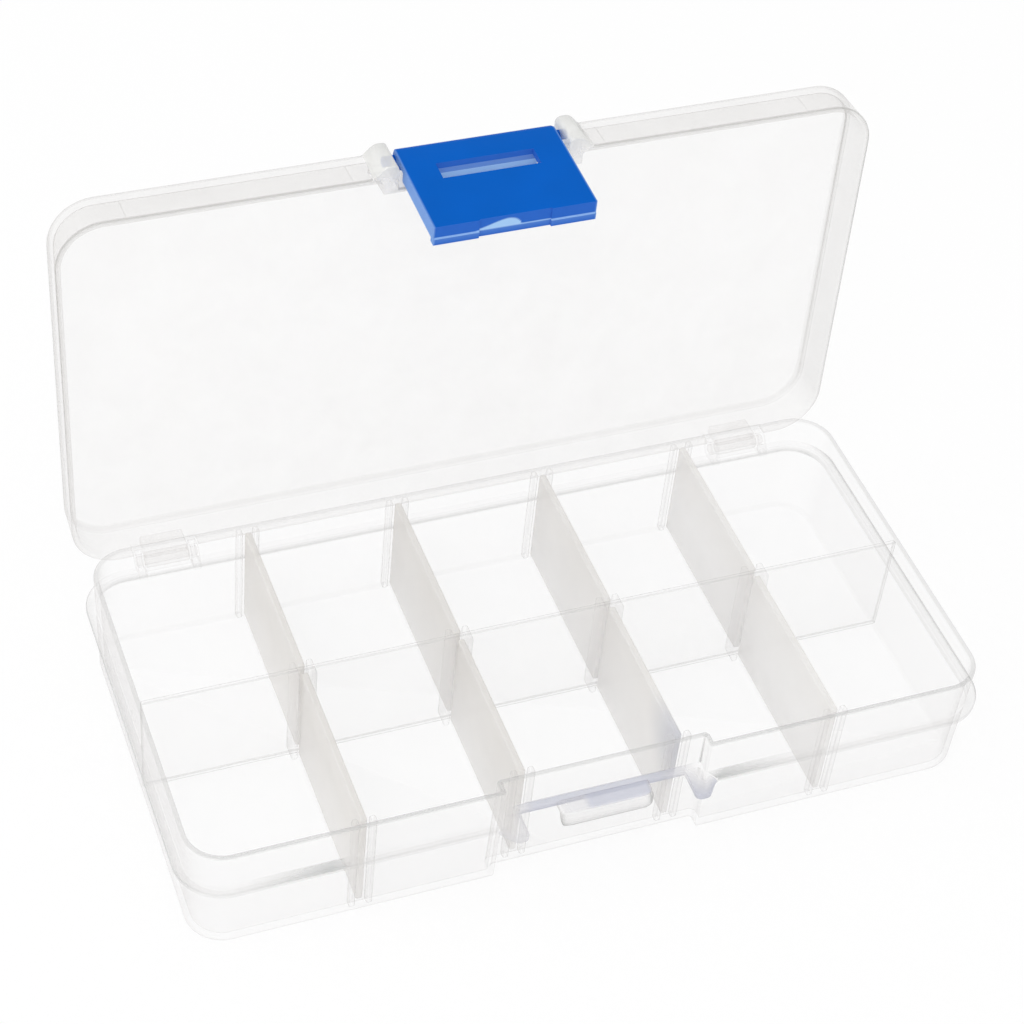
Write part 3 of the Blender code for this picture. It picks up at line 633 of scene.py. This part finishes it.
for offset, recess_y, ear_y, z in ((0.02, 0, 0, EAR_TOP - 0.3), (-0.1, 0.1, 0.3, EAR_TOP)):
    ring = at_height(box_outline(LID_OFFSET + offset, LID_RECESS_Y + recess_y, LID_EAR_Y + ear_y), z)
    add_lid_ring(ring, skirt_fill(ring))
for a, w in zip(np.radians(np.linspace(0, 90, 7)), bent(7)):
    inset, height = LID_EDGE * (1 - math.cos(a)), LID_TOP - LID_EDGE * (1 - math.sin(a))
    ring = at_height(box_outline(LID_OFFSET - inset), height)
    add_lid_ring(ring, 0.3 * w + skirt_fill(ring) * math.cos(a), outside=False)
lid_surface = lid_opened(skin(lid_rings, weights=lid_lines))
lid_shell = piece("lid_shell", lid_surface, clear_lid, "lid")
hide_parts("lid")

# At each hinge the lid has a knuckle with a pin at both ends, on a web that stands on its rear wall.
# The pins turn in the tray's lugs.


def bar(centre_x, y, z, radius, length, edge):
    """Round bar along X with rounded ends: circles whose radius falls off as a quarter circle."""
    a = np.radians(np.linspace(0, 90, 4))
    steps = [(length / 2 - edge * (1 - math.sin(t)), radius - edge * (1 - math.cos(t))) for t in a]
    turn = np.radians(np.arange(0, 360, 15))
    ends = [(centre_x - s, r) for s, r in steps[::-1]] + [(centre_x + s, r) for s, r in steps]
    rings = [np.column_stack([np.full(len(turn), x), y + r * np.cos(turn), z + r * np.sin(turn)])
             for x, r in ends]
    return skin(rings, weights=0.1 * np.concatenate([bent(4), bent(4)]))


KNUCKLE_RADIUS, KNUCKLE_LENGTH, PIN_RADIUS, PIN_LENGTH, SMALL_ROUND = 1.3, 7.0, 0.8, 9.96, 0.2
WEB_HALF, WEB_NEAR_Y, WEB_FAR_Y, WEB_TOP = 3.48, 32.45, 34.0, 18.0
knuckles = []
for c in (-HINGE_X, HINGE_X):
    knuckles.append(bar(c, HINGE_Y, HINGE_Z, KNUCKLE_RADIUS, KNUCKLE_LENGTH, SMALL_ROUND))
    knuckles.append(bar(c, HINGE_Y, HINGE_Z, PIN_RADIUS, PIN_LENGTH, SMALL_ROUND))
    knuckles.append(rounded_block((c - WEB_HALF, WEB_NEAR_Y, LID_LOW),
                                  (c + WEB_HALF, WEB_FAR_Y, WEB_TOP), SMALL_ROUND, line=0.12))
piece("lid_hinge_knuckles", lid_opened(joined(*knuckles)), clear_lid, "lid", weld=0.002)

# The latch is a blue polypropylene moulding: a face plate with a slot for the tongue, a rolled end with
# two pins that snap into the lid's ears, side walls and a lip along its free end. Two pale blue sheets
# behind the slot are painted light: they stand for the light seen through the slot.

LATCH_HALF, LATCH_FACE, LATCH_PLATE, BARREL = 12.65, -1.6, 1.1, 1.6
LATCH_FOOT, LIP_Z, SHOULDER = -18.03, -16.83, -3.8
SIDE_WALL, SIDE_Y, LIP_Y, NOTCH_HALF, NOTCH_CUT = 1.2, 1.0, 1.7, 5.6, 0.35
SLOT_HALF, SLOT_TOP, SLOT_BOTTOM = 7.7, -4.01, -7.51
PIVOT_Y, PIVOT_Z, LATCH_TILT = -32.8, 18.8, math.radians(3.5)
MOON_LEFT, MOON_RIGHT, MOON_HIGH, STEP, STEP_Y = -6.6, 1.0, 0.68, 0.15, 0.5
BARREL_STEPS, TINY = 18, 1e-6  # the two sides of a step lie a tiny width apart until they are welded


def latch_body():
    """The latch as one section carried across its width. Each section is a closed loop: up the face,
    round the barrel, down the back, and along the underside. The side walls and the lip are steps in
    the back's depth, and the slot is a gap in the face and in the back, closed by four walls. On the
    foot a thin step and a half-moon get a painted highlight: the half-moon is only painted, and its
    height is a sine, raised to 0.6, of the way along it, raised to 2.2. The two end faces get a
    fainter painted highlight."""
    moon = np.linspace(MOON_LEFT - 0.2, MOON_RIGHT + 0.2, 38)
    wall = LATCH_HALF - SIDE_WALL
    half = [NOTCH_HALF - TINY, NOTCH_HALF, SLOT_HALF, wall - TINY, wall, LATCH_HALF - 0.3, LATCH_HALF]
    x = np.array(sorted([*half, *(-h for h in half), *moon]))
    back = LATCH_FACE + LATCH_PLATE
    deep = np.where(np.abs(x) >= wall, SIDE_Y, back)
    low = np.where(np.abs(x) < NOTCH_HALF, LATCH_FOOT + NOTCH_CUT, LATCH_FOOT)
    across = np.clip((x - MOON_LEFT) / (MOON_RIGHT - MOON_LEFT), 0, 1)
    bow = MOON_HIGH * np.abs(np.sin(np.pi * across ** 2.2)) ** 0.6
    rows, painted_highlight = [], []
    for y, line in ((STEP_Y + 0.2, 0.15), (STEP_Y, 0.8)):
        rows.append((np.full(len(x), y), low))
        painted_highlight.append(np.full(len(x), line))
    for t in (1, 0.93, 0.86, 0.78, 0.7, 0.62, 0.54, 0.46, 0.38, 0.3, 0.22, 0.1, 0):
        y = STEP_Y - 0.03 + (1 - t) * (LATCH_FACE - STEP_Y + 0.03)
        rows.append((np.full(len(x), y), np.maximum(low, LATCH_FOOT + STEP)))
        moon_highlight = 0.95 * np.clip((bow - (1 - t)) / 0.1 + 0.5, 0, 1) * (bow > 0.03)
        painted_highlight.append(np.maximum(moon_highlight, 0.8 if t == 1 else 0))
    flat = np.ones(len(x))
    for z in (SLOT_BOTTOM, SLOT_TOP):
        rows.append((LATCH_FACE * flat, z * flat))
    rows += [(y * flat, z * flat) for y, z in arc((0, 0), BARREL, 180, -60, BARREL_STEPS)]
    rows += [(back * flat, -BARREL * flat), (back * flat, SHOULDER * flat), (deep, SHOULDER * flat),
             (deep, SLOT_TOP * flat), (deep, SLOT_BOTTOM * flat), (deep, LIP_Z * flat),
             (LIP_Y * flat, LIP_Z * flat), (LIP_Y * flat, low)]
    yz = np.array(rows)
    grid = np.stack([np.broadcast_to(x, yz[:, 0].shape), yz[:, 0], yz[:, 1]], -1).transpose(1, 0, 2)
    setback = 0.6 * np.clip((np.abs(x) - LATCH_HALF + 0.35) / 0.35, 0, 1) ** 2
    grid[:, :, 2] -= setback[:, None] * np.clip(grid[:, :, 2] / BARREL, 0, 1)
    points, faces, _ = skin(grid)
    rings, per_ring = grid.shape[:2]
    index = np.arange(rings * per_ring).reshape(rings, per_ring)
    front_row, back_row = len(painted_highlight), len(painted_highlight) + 2 + (BARREL_STEPS + 1) + 3
    first, last = np.searchsorted(x, -SLOT_HALF), np.searchsorted(x, SLOT_HALF)
    quads = np.array(faces[:-2]).reshape(rings - 1, per_ring, 4)
    keep = np.ones((rings - 1, per_ring), bool)
    keep[first:last, front_row] = False
    keep[first:last, back_row] = False
    left, right = index[first:last], index[first + 1:last + 1]
    top, bottom = front_row + 1, back_row + 1
    upper = np.stack([left[:, top], right[:, top], right[:, back_row], left[:, back_row]], 1)
    lower = np.stack([left[:, front_row], left[:, bottom], right[:, bottom], right[:, front_row]], 1)
    ends = index[[first, last]][:, [front_row, top, back_row, bottom]]
    faces = quads[keep].tolist() + upper.tolist() + lower.tolist() + ends.tolist() + faces[-2:]
    tone = np.zeros((rings, per_ring))
    tone[:, :len(painted_highlight)] = np.array(painted_highlight).T
    # Painted highlight on the two end faces.
    tone[[0, -1]] = 0.4
    return points, faces, tone.ravel()


def blue_polypropylene():
    """Polypropylene coloured through with a strong blue pigment, moulded satin. Faces that turn away
    from the face plate's direction are painted paler, as painted side light, and the end faces, the
    step and half-moon on the foot and the sheets behind the slot get a painted highlight. A faint
    orange peel about 0.7 mm across breaks up the sheen."""
    material = bpy.data.materials.new("blue polypropylene")
    tree = new_tree(material)
    spot = node(tree, "ShaderNodeTexCoord").outputs
    peel = node(tree, "ShaderNodeTexNoise", Vector=spot["Object"], Scale=1 / (0.7 * MM), Detail=2.0)
    cloud = node(tree, "ShaderNodeTexNoise", Vector=spot["Object"], Scale=1 / (9 * MM), Detail=2.0)
    painted_highlight = node(tree, "ShaderNodeAttribute", {"attribute_name": "edge"}).outputs["Fac"]
    toward_face = node(tree, "ShaderNodeVectorMath", {"operation": "DOT_PRODUCT"},
                       Vector__0=spot["Normal"], Vector__1=FACE_DIRECTION)
    sideways = node(tree, "ShaderNodeMath", {"operation": "ABSOLUTE"}, Value__0=toward_face.outputs["Value"])
    painted_side_light = node(tree, "ShaderNodeMapRange", Value=sideways.outputs[0],
                From_Min=0.0, From_Max=0.9, To_Min=1.0, To_Max=0.0).outputs[0]
    colour = linear("#005AB8")
    # Random tone, then painted side light, then painted highlight.
    for part, tone in ((cloud.outputs["Fac"], "#0061C8"), (painted_side_light, "#2F68C8"), (painted_highlight, "#A9D0F8")):
        colour = node(tree, "ShaderNodeMix", {"data_type": "RGBA"},
                      Factor=part, A__2=colour, B__2=linear(tone)).outputs[2]
    rough = node(tree, "ShaderNodeMapRange", Value=peel.outputs["Fac"], To_Min=0.3, To_Max=0.42)
    bump = node(tree, "ShaderNodeBump", Height=peel.outputs["Fac"], Distance=0.02 * MM, Strength=0.4)
    shader = node(tree, "ShaderNodeBsdfPrincipled", Base_Color=colour, Roughness=rough.outputs[0],
                  Normal=bump.outputs[0], IOR=1.49, Specular_IOR_Level=0.03)
    node(tree, "ShaderNodeOutputMaterial", Surface=shader.outputs[0])
    return material


def latch_hung(surface):
    """A surface of the latch, tilted about its pivot, put on the closed lid and turned open with it."""
    p = turned(surface[0], LATCH_TILT, 0, 0) + (0, PIVOT_Y, PIVOT_Z)
    return turned(p, OPEN_ANGLE, HINGE_Y, HINGE_Z), *surface[1:]


FACE_DIRECTION = tuple(turned(turned([(0.0, -1.0, 0.0)], LATCH_TILT, 0, 0), OPEN_ANGLE, 0, 0)[0])
blue = blue_polypropylene()
latch = piece("latch_body", latch_hung(latch_body()), blue, "latch", weld=0.0015)
bevel = latch.modifiers.new("rounded edges", "BEVEL")
bevel.width, bevel.segments, bevel.angle_limit = 0.25 * MM, 3, math.radians(35)
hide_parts("latch")
PIN_MIDDLE, PIN_REACH = 13.4, 2.5
SLOT_SHEET_HALF, SLOT_SHEET_LOW, SLOT_SHEET_HIGH = 8.6, SLOT_TOP + 0.02, SLOT_TOP + 0.85
inner_parts = [(bar(s * PIN_MIDDLE, 0, 0, PIN_RADIUS, PIN_REACH, SMALL_ROUND), 0) for s in (-1, 1)]
# Two pale blue sheets behind the slot, toned pale as painted light seen through the slot.
for near_y, far_y, tone in ((-0.7, 0.5, 0.3), (0.3, 1.7, 0.85)):
    pale_sheet = rounded_block((-SLOT_SHEET_HALF, near_y, SLOT_SHEET_LOW), (SLOT_SHEET_HALF, far_y, SLOT_SHEET_HIGH), 0.1)
    inner_parts.append((pale_sheet, tone))
toned = [(points, faces, np.full(len(points), float(tone))) for (points, faces, _), tone in inner_parts]
piece("latch_pins", latch_hung(joined(*toned)), blue, "latch")

for unused in [m for m in bpy.data.materials if not m.users]:
    bpy.data.materials.remove(unused)
